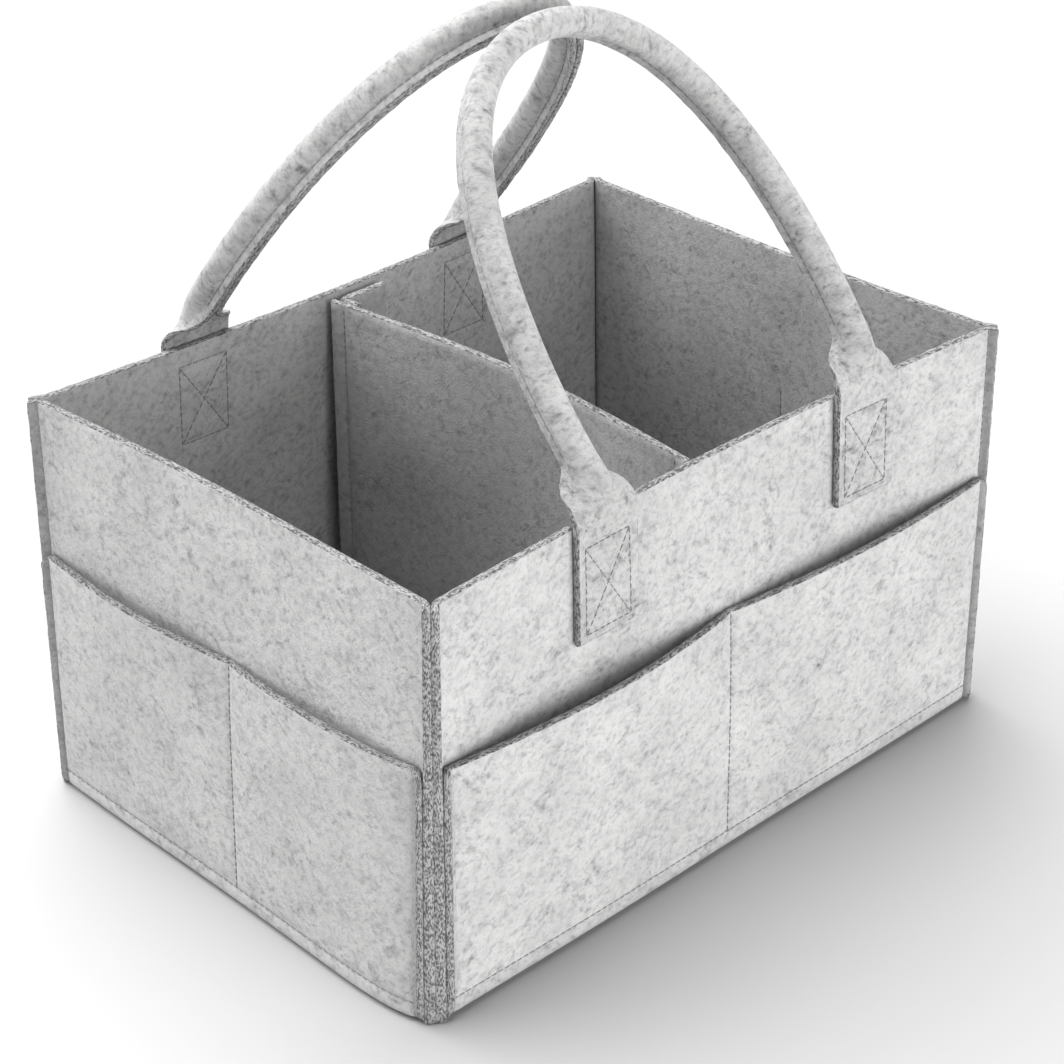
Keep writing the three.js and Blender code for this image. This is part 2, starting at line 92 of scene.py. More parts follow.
# Each side: the way it faces, half its run between the inner corners, how far out it stands, and its slack
SIDES = {
    "front": (np.array((0.0, -1.0, 0.0)), HALF_X, HALF_Y, 0.006),
    "back": (np.array((0.0, 1.0, 0.0)), HALF_X, HALF_Y, 0.006),
    "left": (np.array((-1.0, 0.0, 0.0)), HALF_Y, HALF_X, 0.0025),
    "right": (np.array((1.0, 0.0, 0.0)), HALF_Y, HALF_X, 0.0025),
}


def straight_run(side):
    return SIDES[side][1] - BEND * math.tan(math.pi / 8)


def panel_half(side):
    return straight_run(side) + BEND_RUN + FIN


def settled(points):
    """Belly of the short sides: it grows towards the foot and along the side, then turns in at the corner."""
    x, y, z = np.moveaxis(points, -1, 0)
    low = np.maximum(1 - z / HEIGHT, 0)
    along = np.sign(x) * y / (HALF_Y + BEND)
    belly = (1 + along) / 2 * np.maximum(1 - along**BELLY_FIRMNESS, 0)
    return np.stack((x + FOOT_BELLY * low * belly * x / HALF_X, y, z), -1)


def on_panel(side, s, z, out):
    """Points of a side: s along its felt from the middle, z up, out from the inner face."""
    outward, half, depth, slack = SIDES[side]
    along = np.cross(UP, outward)
    run = straight_run(side)
    beyond = np.maximum(np.abs(s) - run, 0)
    turn = np.minimum(beyond / BEND, math.pi / 4)
    fin = np.maximum(beyond - BEND_RUN, 0) * math.sqrt(0.5)
    out = out - FIN_DRAW * LAY * turn / (math.pi / 4)
    u = np.minimum(np.abs(s), run) + (BEND - out) * np.sin(turn) + fin
    lean = slack * (1 - np.minimum(u / half, 1) ** 2) * (z / HEIGHT) ** 2
    # two slow waves that cross, shifted from side to side
    ease = EASE * np.sin(23 * s + 9 * z + 40 * half) * np.sin(31 * z + 11 * s + depth * 50)
    n = depth + BEND - (BEND - out) * np.cos(turn) + fin - lean + ease * np.cos(2 * turn)
    return settled((np.sign(s) * u)[..., None] * along + n[..., None] * outward + z[..., None] * UP)


def seam_share(side, s):
    """0 on the straight run, 1 at the raw edge of the seam."""
    beyond = np.abs(s) - straight_run(side)
    return (np.clip(beyond / BEND_RUN, 0, 1) + np.clip((beyond - BEND_RUN) / FIN, 0, 1)) / 2


OPEN_STEP, BEND_STEP, SEAM_STEP, EDGE_STEP = 0.004, 0.0012, 0.0008, 0.001  # between marks on the felt
LEAST_STEP = 0.0003  # marks closer than this are taken as one
BEND_LEAD = 0.001  # a bend starts softly, so its closer marks begin a little later
SEAM_REACH, EDGE_REACH = 0.003, 0.004  # how far from a seam or an open edge the marks are closer


def ruled(low, high, step, *closer):
    """Grid marks from low to high, with closer steps over the stretches given as (from, to, step)."""
    marks = [np.linspace(low, high, round((high - low) / step) + 1)]
    marks += [np.linspace(a, b, round((b - a) / pace) + 1) for a, b, pace in closer]
    marks = np.sort(np.concatenate(marks))
    marks = marks[(marks >= low) & (marks <= high)]
    marks = marks[np.append(np.diff(marks) > LEAST_STEP, True)]
    marks[0] = low
    return marks


def beside(line, reach, step):
    """Closer marks on both sides of a line."""
    return line - reach, line + reach, step


def turned_ends(side):
    """Closer marks over the two ends of a panel, where it turns out."""
    half, start = panel_half(side), straight_run(side) + BEND_LEAD
    return [(-half, -start, BEND_STEP), (start, half, BEND_STEP)]


GROOVE, PULL = 0.0009, 0.0011  # how deep the thread pulls into the felt, and half the width of that dent
PUCKER, PUCKER_REACH = 0.0004, 0.005  # the shallow hollow on both sides of a seam
FAINT = 0.25  # how much of a dent shows through from a seam on the other face


def pulled_in(s, v, seams):
    """How deep the stitching has drawn the surface in at each point."""
    depth = np.zeros_like(s)
    for seam in seams:
        for (s0, v0), (s1, v1) in zip(seam[:-1], seam[1:]):
            length = math.hypot(s1 - s0, v1 - v0)
            t = np.clip(((s - s0) * (s1 - s0) + (v - v0) * (v1 - v0)) / length**2, 0, 1)
            away = np.hypot(s - s0 - t * (s1 - s0), v - v0 - t * (v1 - v0))
            dent = (GROOVE - PUCKER) * np.exp(-((away / PULL) ** 2))
            depth = np.maximum(depth, dent + PUCKER * np.exp(-((away / PUCKER_REACH) ** 2)))
    return depth


EDGE_RINGS = (0.14, 0.5, 0.86)  # where the rings of a rounded edge lie, from back to face
pieces_cut = 0


def cut_felt(name, across, up, place, looks, seams=(), under=(), faint=(),
             thick=FELT, edge=EDGE, pressed=0.0):
    """A piece of felt over a grid: place(s, v, layer) gives its points, layer 0 behind and 1 in front.
    Seams draw in its face, some only faintly, and others its underside. Its border is worn round, a strip as
    wide as pressed along both ends gets painted shade (a darker look for the shaded fin at a corner), and the
    flat place of every point is kept for the felt's pattern."""
    global pieces_cut
    pieces_cut += 1
    rng = np.random.default_rng(pieces_cut)
    across, up = across.copy(), up.copy()
    across[[0, -1]] += edge, -edge
    up[[0, -1]] += edge, -edge
    s, v = np.meshgrid(across, up)
    rows, columns = s.shape
    back = place(s, v, pulled_in(s, v, under) / thick)
    face = place(s, v, 1 - (pulled_in(s, v, seams) + FAINT * pulled_in(s, v, faint)) / thick)

    right, top = columns - 1, rows - 1
    border = [(0, i) for i in range(columns)] + [(j, right) for j in range(1, rows)]
    border += [(top, i) for i in range(right - 1, -1, -1)] + [(j, 0) for j in range(top - 1, 0, -1)]
    j, i = np.array(border).T
    out_s = (i == right) * 1.0 - (i == 0)
    out_v = (j == top) * 1.0 - (j == 0)
    points = [back.reshape(-1, 3), face.reshape(-1, 3)]
    flat = [np.stack((s, v, 0 * s + depth), -1).reshape(-1, 3) for depth in (0, thick)]
    loops = [j * columns + i]
    for layer in EDGE_RINGS:
        reach = edge * math.sin(math.pi * layer) ** 0.5 + rng.normal(0, edge / 6, len(i))
        edge_s, edge_v = s[j, i] + out_s * reach, v[j, i] + out_v * reach
        loops.append(sum(map(len, points)) + np.arange(len(i)))
        points.append(place(edge_s, edge_v, np.full(len(i), layer)))
        flat.append(np.stack((edge_s, edge_v, np.full(len(i), layer * thick)), -1))
    loops.append(rows * columns + j * columns + i)

    at = np.arange(rows * columns).reshape(rows, columns)
    quads = [np.stack((at[:-1, :-1], at[1:, :-1], at[1:, 1:], at[:-1, 1:]), -1).reshape(-1, 4)]
    quads.append(quads[0][:, ::-1] + rows * columns)
    inner = sum(map(len, quads))
    for low, high in zip(loops[:-1], loops[1:]):
        quads.append(np.stack((low, np.roll(low, -1), np.roll(high, -1), high), -1))
    quads = np.concatenate(quads)

    mesh = bpy.data.meshes.new(name)
    mesh.from_pydata(np.concatenate(points).tolist(), [], quads.tolist())
    cloth = mesh.attributes.new("cloth", "FLOAT_VECTOR", "POINT")
    offset = np.array((0.37, 0.61, 0.23)) * pieces_cut
    cloth.data.foreach_set("vector", (np.concatenate(flat) + offset).astype(np.float32).ravel())
    look_of = np.ones(len(quads), np.int32)  # in looks: 0 face, 1 cut edge, 2 strip of painted shade on a fin
    middle_s = np.tile((across[:-1] + across[1:]) / 2, 2 * (rows - 1))
    # the strips at both ends, as wide as pressed, get painted shade: the fins stand in shade at the corners
    look_of[:inner] = 2 * ((middle_s < across[0] + pressed) | (middle_s > across[-1] - pressed))
    mesh.polygons.foreach_set("material_index", look_of)
    mesh.polygons.foreach_set("use_smooth", np.ones(len(quads), bool))
    for look in looks:
        mesh.materials.append(look)
    piece = bpy.data.objects.new(name, mesh)
    bpy.context.scene.collection.objects.link(piece)
    return piece


STITCH = 0.0033  # from one needle hole to the next
THREAD = 0.00026  # radius
STITCH_ENDS = (0.06, 0.94)  # where a stitch comes out of its hole and goes in again, in parts of STITCH
STITCH_GIRTH = (0.5, 0.95, 1.0, 0.95, 0.5)  # along a stitch, in parts of THREAD
thread_runs = {"root": [], "front_handle": [], "back_handle": [], "divider": []}


def sew(body, seams, place, layer, thick=FELT):
    """Lays single stitches along seams on one face of a piece: each dips into the felt at its ends."""
    facing = 1 if layer else -1
    for seam in seams:
        seam = np.array(seam, float)
        gone = np.concatenate(([0], np.cumsum(np.linalg.norm(np.diff(seam, axis=0), axis=1))))
        count = max(1, round(gone[-1] / STITCH))
        share = np.linspace(*STITCH_ENDS, len(STITCH_GIRTH))
        t = (np.arange(count)[:, None] + share) * gone[-1] / count
        s, v = np.interp(t, gone, seam[:, 0]), np.interp(t, gone, seam[:, 1])
        sunk = GROOVE / thick
        on = place(s, v, np.full(s.shape, 1 - sunk if layer else sunk))
        normal = place(s, v, np.ones_like(s)) - place(s, v, np.zeros_like(s))
        normal *= facing / np.linalg.norm(normal, axis=-1, keepdims=True)
        middle = on + normal * (THREAD * (1.5 * np.sin(math.pi * share) - 0.5))[:, None]
        ahead = np.gradient(middle, axis=1)
        aside = np.cross(ahead, normal)
        aside /= np.linalg.norm(aside, axis=-1, keepdims=True)
        girth = THREAD * np.array(STITCH_GIRTH)[:, None, None]
        angle = np.arange(6) * math.pi / 3
        ring = np.cos(angle)[:, None] * aside[..., None, :] + np.sin(angle)[:, None] * normal[..., None, :]
        thread_runs[body].append(middle[..., None, :] + girth * ring)


class Node:
    """An output of a material's nodes. Sums, differences and products of these add Math nodes."""

    def __init__(self, tree, output=None):
        self.tree, self.output = tree, output

    def node(self, kind, settings, inputs, result=None):
        made = self.tree.nodes.new(kind)
        for key, value in settings.items():
            setattr(made, key, value)
        for key, value in inputs.items():
            socket = made.inputs[key] if isinstance(key, int) else next(
                found for found in made.inputs if found.enabled and found.name == key)
            if isinstance(value, Node):
                self.tree.links.new(value.output, socket)
            else:
                socket.default_value = value
        outputs = [found for found in made.outputs if found.enabled and result in (None, found.name)]
        return Node(self.tree, outputs[0]) if outputs else None

    def math(self, operation, first, second):
        return self.node("ShaderNodeMath", {"operation": operation}, {0: first, 1: second})

    def __add__(self, other):
        return self.math("ADD", self, other)

    def __radd__(self, other):
        return self.math("ADD", other, self)

    def __sub__(self, other):
        return self.math("SUBTRACT", self, other)

    def __rsub__(self, other):
        return self.math("SUBTRACT", other, self)

    def __mul__(self, other):
        return self.math("MULTIPLY", self, other)

    def __rmul__(self, other):
        return self.math("MULTIPLY", other, self)


def noise(where, grain, detail=2.0, turned=0.0, drawn=1.0, result="Fac"):
    """Cloudy pattern with a grain size in metres, turned in the cloth and drawn out along one way."""
    laid = where.node("ShaderNodeMapping", {}, {
        "Vector": where, "Rotation": (0, 0, turned), "Scale": (1 / (grain * drawn), 1 / grain, 1 / grain)})
    return where.node("ShaderNodeTexNoise", {}, {"Vector": laid, "Scale": 1.0, "Detail": detail}, result)


def rising(value, low, high):
    return value.node("ShaderNodeMapRange", {"interpolation_type": "SMOOTHSTEP"}, {
        "Value": value, "From Min": low, "From Max": high}, "Result")


def blended(share, first, second):
    return share.node("ShaderNodeMix", {"data_type": "RGBA"}, {"Factor": share, "A": first, "B": second})


def toned(colour, tone):
    return tone.node("ShaderNodeVectorMath", {"operation": "SCALE"}, {"Vector": colour, "Scale": tone})


def new_look(name):
    material = bpy.data.materials.new(name)
    material.use_nodes = True
    material.node_tree.nodes.clear()
    return material, Node(material.node_tree)


def finished(nodes, colour, roughness, height, relief, sheen):
    bump = nodes.node("ShaderNodeBump", {}, {"Height": height, "Strength": 1.0, "Distance": relief})
    shader = nodes.node("ShaderNodeBsdfPrincipled", {}, {
        "Base Color": colour, "Roughness": roughness, "Normal": bump,
        "Specular IOR Level": 0.2, "Sheen Weight": sheen, "Sheen Roughness": 0.6})
    nodes.node("ShaderNodeOutputMaterial", {}, {"Surface": shader})


def felt_look(name, pale, fleck):
    """Face of heathered felt: pale wool with darker fibres that gather in loose swirling drifts."""
    material, nodes = new_look(name)
    cloth = nodes.node("ShaderNodeAttribute", {"attribute_name": "cloth"}, {}, "Vector")
    swirl = noise(cloth, 0.010, 2.0, result="Color")
    swirled = cloth.node("ShaderNodeVectorMath", {"operation": "MULTIPLY_ADD"}, {
        0: swirl, 1: (0.005, 0.005, 0.0), 2: cloth})
    cloud = noise(cloth, 0.034, 3.0)
    drift = rising(noise(cloth, 0.012, 3.0), 0.40, 0.68)
    smudges = rising(noise(swirled, 0.0046, 4.0), 0.38, 0.88)
    fibres = rising(noise(swirled, 0.0022, 4.0, 0.8, 1.15), 0.42, 0.84)
    specks = rising(noise(cloth, 0.0013, 2.0), 0.50, 0.82)
    lint = noise(cloth, 0.0008, 2.0)
    strands = noise(swirled, 0.0030, 3.0)
    dark = (smudges * 0.55 + fibres * 0.6 + specks * 0.35) * (0.6 + 0.4 * drift)
    colour = blended(dark, pale, fleck)
    tone = 0.68 + 0.44 * cloud + 0.24 * lint
    height = lint * 0.6 + strands * 0.6 - dark * 0.4
    finished(nodes, toned(colour, tone), 0.92 - 0.08 * lint, height, 0.0005, 0.1)
    return material


def raw_edge_look(name, pale, fleck):
    """Cut edge of the felt: fibres pressed into thin layers, so its flecks are drawn out along the edge."""
    material, nodes = new_look(name)
    cloth = nodes.node("ShaderNodeAttribute", {"attribute_name": "cloth"}, {}, "Vector")
    pressed = cloth.node("ShaderNodeVectorMath", {"operation": "MULTIPLY"}, {0: cloth, 1: (1, 1, 3)})
    layers = noise(pressed, 0.0042, 3.0)
    ends = rising(noise(pressed, 0.0016, 3.0), 0.38, 0.70)
    tone = rising(ends * 0.55 + layers * 0.75, 0.30, 0.85)
    finished(nodes, blended(tone, pale, fleck), 0.95 - 0.05 * ends, layers - ends * 0.4, 0.0005, 0.1)
    return material


WALL_PALE, WALL_FLECK = (0.39, 0.39, 0.388, 1), (0.10, 0.10, 0.10, 1)
EDGE_PALE, EDGE_FLECK = (0.30, 0.30, 0.299, 1), (0.065, 0.065, 0.065, 1)
# Painted shade: the darker felt look for the fins at the corner seams, which stand in shade
FIN_SHADE_PALE, FIN_SHADE_FLECK = (0.235, 0.235, 0.234, 1), (0.05, 0.05, 0.05, 1)
cut_look = raw_edge_look("felt_cut", EDGE_PALE, EDGE_FLECK)
painted_fin_shade_look = felt_look("felt_painted_fin_shade", FIN_SHADE_PALE, FIN_SHADE_FLECK)
wall_looks = [felt_look("wall_felt_face", WALL_PALE, WALL_FLECK), cut_look, painted_fin_shade_look]

POCKET_HEIGHT = 0.112
BASE_SEAM = 0.007
CENTRE_SEAM = {"front": -0.0017, "back": 0.0015, "left": 0.0056, "right": -0.003}  # along each side
HANDLE_SPREAD, HANDLE_OFFSET = 0.074, 0.0045  # half a handle's span, and how far off the middle it is sewn
CROSS_BOX = (0.012, 0.135, 0.171)  # stitched box on a handle end: half width, foot and top
TAPE_LINE = 0.008  # tape stitches, from the middle of the tape
SEAM_INSET = 0.002  # from the end of a strip to the first stitch
TAPE_X = 0.0025
TAPE_FOOT, TAPE_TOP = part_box("front_loop_tape")[0].z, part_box("front_loop_tape")[1].z


def cross_box(middle, shift):
    """A sewn rectangle with both diagonals, as lines on the cloth."""
    half, foot, top = CROSS_BOX
    corners = ((-half, foot), (half, foot), (half, top), (-half, top))
    a, b, c, d = [(middle + x, z - shift) for x, z in corners]
    return [[a, b, c, d, a], [a, c], [b, d]]


def tape_stitching(middle):
    """The two seams that hold a tape, as lines on the cloth."""
    lines = (middle - TAPE_LINE, middle + TAPE_LINE)
    return [[(line, TAPE_FOOT + SEAM_INSET), (line, TAPE_TOP - SEAM_INSET)] for line in lines]


for side in SIDES:
    def wall_at(s, v, layer, side=side):
        seam = seam_share(side, s) ** 2
        foot, head = SEAM_FOOT * seam, HEIGHT - SEAM_HEAD * seam
        return on_panel(side, s, foot + (head - foot) * v / HEIGHT, WALL_BACK + layer * FELT)

    half, centre = panel_half(side), CENTRE_SEAM[side]
    inner_seams = [[(centre, BASE_SEAM), (centre, POCKET_HEIGHT)]]
    outer_seams = [[(end, POCKET_HEIGHT), (end, HEIGHT)] for end in (FIN_STITCH - half, half - FIN_STITCH)]
    columns = turned_ends(side) + [beside(centre, SEAM_REACH, SEAM_STEP)]
    rows = [(HEIGHT - EDGE_REACH, HEIGHT, EDGE_STEP)]
    tape_seams = []
    if side in ("front", "back"):
        tape_seams = tape_stitching(np.cross(UP, SIDES[side][0])[0] * TAPE_X)
        for (line, _), _ in tape_seams:
            columns.append(beside(line, SEAM_REACH, SEAM_STEP))
        for middle in (HANDLE_OFFSET - HANDLE_SPREAD, HANDLE_OFFSET + HANDLE_SPREAD):
            inner_seams += cross_box(middle, 0)
            columns.append(beside(middle, CROSS_BOX[0] + EDGE_REACH, EDGE_STEP))
        rows.append((CROSS_BOX[1] - SEAM_REACH, CROSS_BOX[2] + SEAM_REACH, EDGE_STEP))
    # out to FIN_STITCH from each end the wall's fins take the darker look, as painted shade
    wall = cut_felt(f"{side}_wall_panel", ruled(-half, half, OPEN_STEP, *columns),
                    ruled(0, HEIGHT, OPEN_STEP, *rows), wall_at, wall_looks,
                    outer_seams, inner_seams, tape_seams, pressed=FIN_STITCH)
    sew("root", inner_seams, wall_at, 0)
    sew("root", outer_seams, wall_at, 1)
    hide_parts(f"{side}_wall")
    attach(wall, "root")
    2 * half


# Floor panel: one piece of the same felt, its edges turned down inside the walls and sewn through them
# close above the table, so that the floor lies off the surface.
FLOOR_CORNER = 0.012
FLOOR_STEP = 0.006
FLOOR_BEND = 0.005
FLOOR_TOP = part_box("base_panel")[1].z
FLOOR_X, FLOOR_Y = HALF_X - LAY / 2, HALF_Y - LAY / 2
FLOOR_TURN = FLOOR_CORNER - FLOOR_BEND
FLOOR_REACH = FLOOR_TURN + FLOOR_BEND * math.pi / 2 + FLOOR_TOP - FLOOR_BEND


def floor_at(s, v, layer):
    """The flat cut (s, v), with its corners eased round and its rim bent down."""
    core_x, core_y = FLOOR_X - FLOOR_CORNER, FLOOR_Y - FLOOR_CORNER
    over_x, over_y = np.maximum(np.abs(s) - core_x, 0), np.maximum(np.abs(v) - core_y, 0)
    reach = np.maximum(over_x, over_y)
    inside = (FLOOR_REACH + over_x + over_y) * 1e-9
    eighth = np.where(over_x >= over_y, over_y / (over_x + inside), 2 - over_x / (over_y + inside))
    angle = eighth * math.pi / 4
    turn = np.clip((reach - FLOOR_TURN) / FLOOR_BEND, 0, math.pi / 2)
    down = np.maximum(reach - FLOOR_TURN - FLOOR_BEND * math.pi / 2, 0)
    radius = FLOOR_BEND - (1 - layer) * FELT
    out = np.minimum(reach, FLOOR_TURN) + radius * np.sin(turn)
    z = FLOOR_TOP - FLOOR_BEND + radius * np.cos(turn) - down
    x = np.sign(s) * (np.minimum(np.abs(s), core_x) + out * np.cos(angle) * (reach > 0))
    y = np.sign(v) * (np.minimum(np.abs(v), core_y) + out * np.sin(angle) * (reach > 0))
    return settled(np.stack((x, y, z), -1))


floor_half_x = FLOOR_X - FLOOR_CORNER + FLOOR_REACH
floor_half_y = FLOOR_Y - FLOOR_CORNER + FLOOR_REACH
floor_marks = []
for half in (floor_half_x, floor_half_y):
    rims = [(-half, FLOOR_REACH - half, EDGE_STEP), (half - FLOOR_REACH, half, EDGE_STEP)]
    floor_marks.append(ruled(-half, half, FLOOR_STEP, *rims))
base = cut_felt("base_felt", *floor_marks, floor_at, wall_looks)
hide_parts("base_panel")
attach(base, "root")


# Outer pockets: a lower panel laid on each wall and caught in the same corner seams, sewn along the base
# and down the middle, so that each side has two pockets. Use has pulled every mouth open a little.
POCKET_BACK = WALL_FACE + LAY
LIP_DROP = 0.004
FOOT_GAP = 0.0019  # the pockets are cut a little short and end above the table
FOOT_WEAR = 0.0025  # how far a pocket's outer face is rounded off at the foot of a corner seam
FOOT_THIN, FOOT_REACH = 0.35, 0.0012  # share of the felt that is worn off above the foot, and how far up
SEAM_THIN = 0.35  # share by which a corner seam presses the pocket's felt thin
LIP_THIN, LIP_REACH = 0.4, 0.006  # the same once more close under the lip, and how far down
SEAM_DRAW = 0.7  # how far a corner seam draws the pocket on to its wall, in parts of LAY
MOUTHS = {  # how far the left and the right mouth of each side gape, as seen from outside
    "front": (0.0078, 0.0060),
    "back": (0.0060, 0.0068),
    "left": (0.0042, 0.0036),
    "right": (0.0056, 0.0064),
}
MOUTH_FULL, MOUTH_RISE = 0.9, 1.5  # powers: how full a mouth is across, and how late it opens going up
POCKET_PALE = (0.39, 0.39, 0.388, 1)
pocket_looks = [felt_look("pocket_felt_face", POCKET_PALE, WALL_FLECK), cut_look, painted_fin_shade_look]

for side in SIDES:
    def pocket_at(s, v, layer, side=side):
        seam = seam_share(side, s) ** 2
        foot, lip = FOOT_GAP + FOOT_WEAR * layer * seam, POCKET_HEIGHT - LIP_DROP * seam
        z = foot + (lip - foot) * v / POCKET_HEIGHT
        run, past = straight_run(side), s - CENTRE_SEAM[side]
        share = np.clip(past / (run - np.sign(past) * CENTRE_SEAM[side]), -1, 1)
        mouth = np.where(share < 0, *MOUTHS[side])
        rise = np.clip((z - BASE_SEAM) / (POCKET_HEIGHT - BASE_SEAM), 0, 1)
        gape = mouth * np.abs(np.sin(math.pi * share)) ** MOUTH_FULL * rise**MOUTH_RISE
        thin = seam * (SEAM_THIN + LIP_THIN * np.exp((z - POCKET_HEIGHT) / LIP_REACH))
        thin = thin + FOOT_THIN * np.exp((foot - z) / FOOT_REACH)
        return on_panel(side, s, z, POCKET_BACK - SEAM_DRAW * LAY * seam + gape + layer * FELT * (1 - thin))

    half, centre = panel_half(side), CENTRE_SEAM[side]
    pocket_seams = [[(centre, BASE_SEAM), (centre, POCKET_HEIGHT - SEAM_INSET / 2)]]
    pocket_seams.append([(FIN_STITCH - half, BASE_SEAM), (half - FIN_STITCH, BASE_SEAM)])
    for end in (FIN_STITCH - half, half - FIN_STITCH):
        pocket_seams.append([(end, SEAM_FOOT), (end, POCKET_HEIGHT - SEAM_INSET)])
    columns = turned_ends(side) + [beside(centre, EDGE_REACH, SEAM_STEP)]
    rows = [(0, BASE_SEAM + EDGE_REACH, SEAM_STEP)]
    rows.append((POCKET_HEIGHT - EDGE_REACH, POCKET_HEIGHT, EDGE_STEP))
    # out to FIN_STITCH from each end the pocket's fins take the darker look, as painted shade
    pocket = cut_felt(f"{side}_pocket_panel", ruled(-half, half, OPEN_STEP, *columns),
                      ruled(0, POCKET_HEIGHT, OPEN_STEP, *rows), pocket_at, pocket_looks, pocket_seams,
                      pressed=FIN_STITCH)
    sew("root", pocket_seams, pocket_at, 1)
    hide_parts(f"{side}_pocket")
    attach(pocket, "root")
    2 * half


# Handles: one long strip of felt each. Its flat ends are sewn to the outside of a long wall with a crossed
# box. Between them the strip is rolled until its two raw edges meet underneath, and these are sewn
# together, so that the arch is a tube with a narrow raw fin. It bends in at the rim.
STRIP_HALF = 0.0165
TAB_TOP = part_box("front_handle_tab_left")[1].z
TAB_LENGTH = TAB_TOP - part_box("front_handle_tab_left")[0].z
ARCH_HEIGHT = 0.1755
ARCH_BULGE, ARCH_LEG = 0.009, 0.047  # pull on the arch at its foot: out and up
ARCH_CROWN = 0.0785  # pull on the arch along its top
HANDLE_BEND = 0.022  # length of strip that bends in above the rim
TUBE_RADIUS, NECK_RADIUS = 0.0042, 0.003  # in the middle of the felt: the tube, and its turn into the fin
ROLL_START, ROLL_END = 0.0015, 0.026  # from the rim: where the strip starts to roll, and where it is closed
MEETING_GAP = 0.002  # between the two handles
NECK_TURN = math.acos(((FELT + LAY) / 2 + NECK_RADIUS) / (TUBE_RADIUS + NECK_RADIUS))
TUBE_RUN = TUBE_RADIUS * (math.pi / 2 + NECK_TURN)
NECK_RUN = NECK_RADIUS * NECK_TURN
HINGES = {joint["name"]: joint for joint in frame["record"]["behaviour"]["joints"]}
HINGE_OUT = abs(HINGES["front_handle_swing"]["pos_m"][1])

# Middle line of the arch in its own plane, as two mirrored halves of a smooth curve
share = np.linspace(0, 1, 400)[:, None]
pulls = [(-HANDLE_SPREAD, 0), (-HANDLE_SPREAD - ARCH_BULGE, ARCH_LEG)]
pulls += [(-ARCH_CROWN, ARCH_HEIGHT), (0, ARCH_HEIGHT)]
left_half = sum(count * share**k * (1 - share) ** (3 - k) * np.array(pull)
                for k, (count, pull) in enumerate(zip((1, 3, 3, 1), pulls)))
ARCH = np.concatenate((left_half, left_half[-2::-1] * (-1, 1)))
ARCH_GONE = np.concatenate(([0], np.cumsum(np.linalg.norm(np.diff(ARCH, axis=0), axis=1))))
ARCH_LENGTH = ARCH_GONE[-1]


def smooth(value, low, high):
    share = np.clip((value - low) / (high - low), 0, 1)
    return share * share * (3 - 2 * share)


def stepped(run, heading, turn):
    """Across and behind, after a run of felt that starts at a heading and turns by an angle."""
    chord = run * np.sinc(turn / (2 * math.pi))
    return chord * np.cos(heading + turn / 2), chord * np.sin(heading + turn / 2)


def rolled(w, roll, layer):
    """Section of the strip: across and behind its outer face, for a point w from its middle line."""
    width = np.abs(w)
    tube, neck = np.minimum(width, TUBE_RUN), np.clip(width - TUBE_RUN, 0, NECK_RUN)
    edge = np.maximum(width - TUBE_RUN - NECK_RUN, 0)
    tube_turn, neck_turned = roll * tube / TUBE_RADIUS, -roll * neck / NECK_RADIUS
    heading = tube_turn + neck_turned
    steps = [stepped(tube, 0, tube_turn), stepped(neck, tube_turn, neck_turned)]
    steps.append(stepped(edge, heading, 0 * edge))
    under = (0.5 - layer) * FELT
    across = sum(step[0] for step in steps) - under * np.sin(heading)
    behind = sum(step[1] for step in steps) + FELT / 2 + under * np.cos(heading)
    return np.sign(w) * across, behind


def way_up(reach, full_lean):
    """The strip stands upright at the rim, then bends in: its slant, and how far in and up it has come."""
    slant = full_lean * np.clip(reach / HANDLE_BEND, 0, 1)
    radius, beyond = HANDLE_BEND / full_lean, np.maximum(reach - HANDLE_BEND, 0)
    inward = radius * (1 - np.cos(slant)) + beyond * math.sin(full_lean)
    return slant, inward, radius * np.sin(slant) + beyond * math.cos(full_lean)


# The handles lean in until the sewn edges of the two meet over the middle of the caddy
strip_w, strip_layer = np.meshgrid(np.linspace(-STRIP_HALF, STRIP_HALF, 73), (0.0, 1.0))
tube_across, tube_behind = rolled(strip_w, 1.0, strip_layer)
leans, crowns = np.linspace(0.3, 1.0, 701), []
for full_lean in leans:
    slant, inward, _ = way_up(ARCH_HEIGHT + tube_across, full_lean)
    crowns.append(np.max(inward + tube_behind * np.cos(slant)))
HANDLE_LEAN = float(np.interp(HINGE_OUT - MEETING_GAP / 2, crowns, leans))


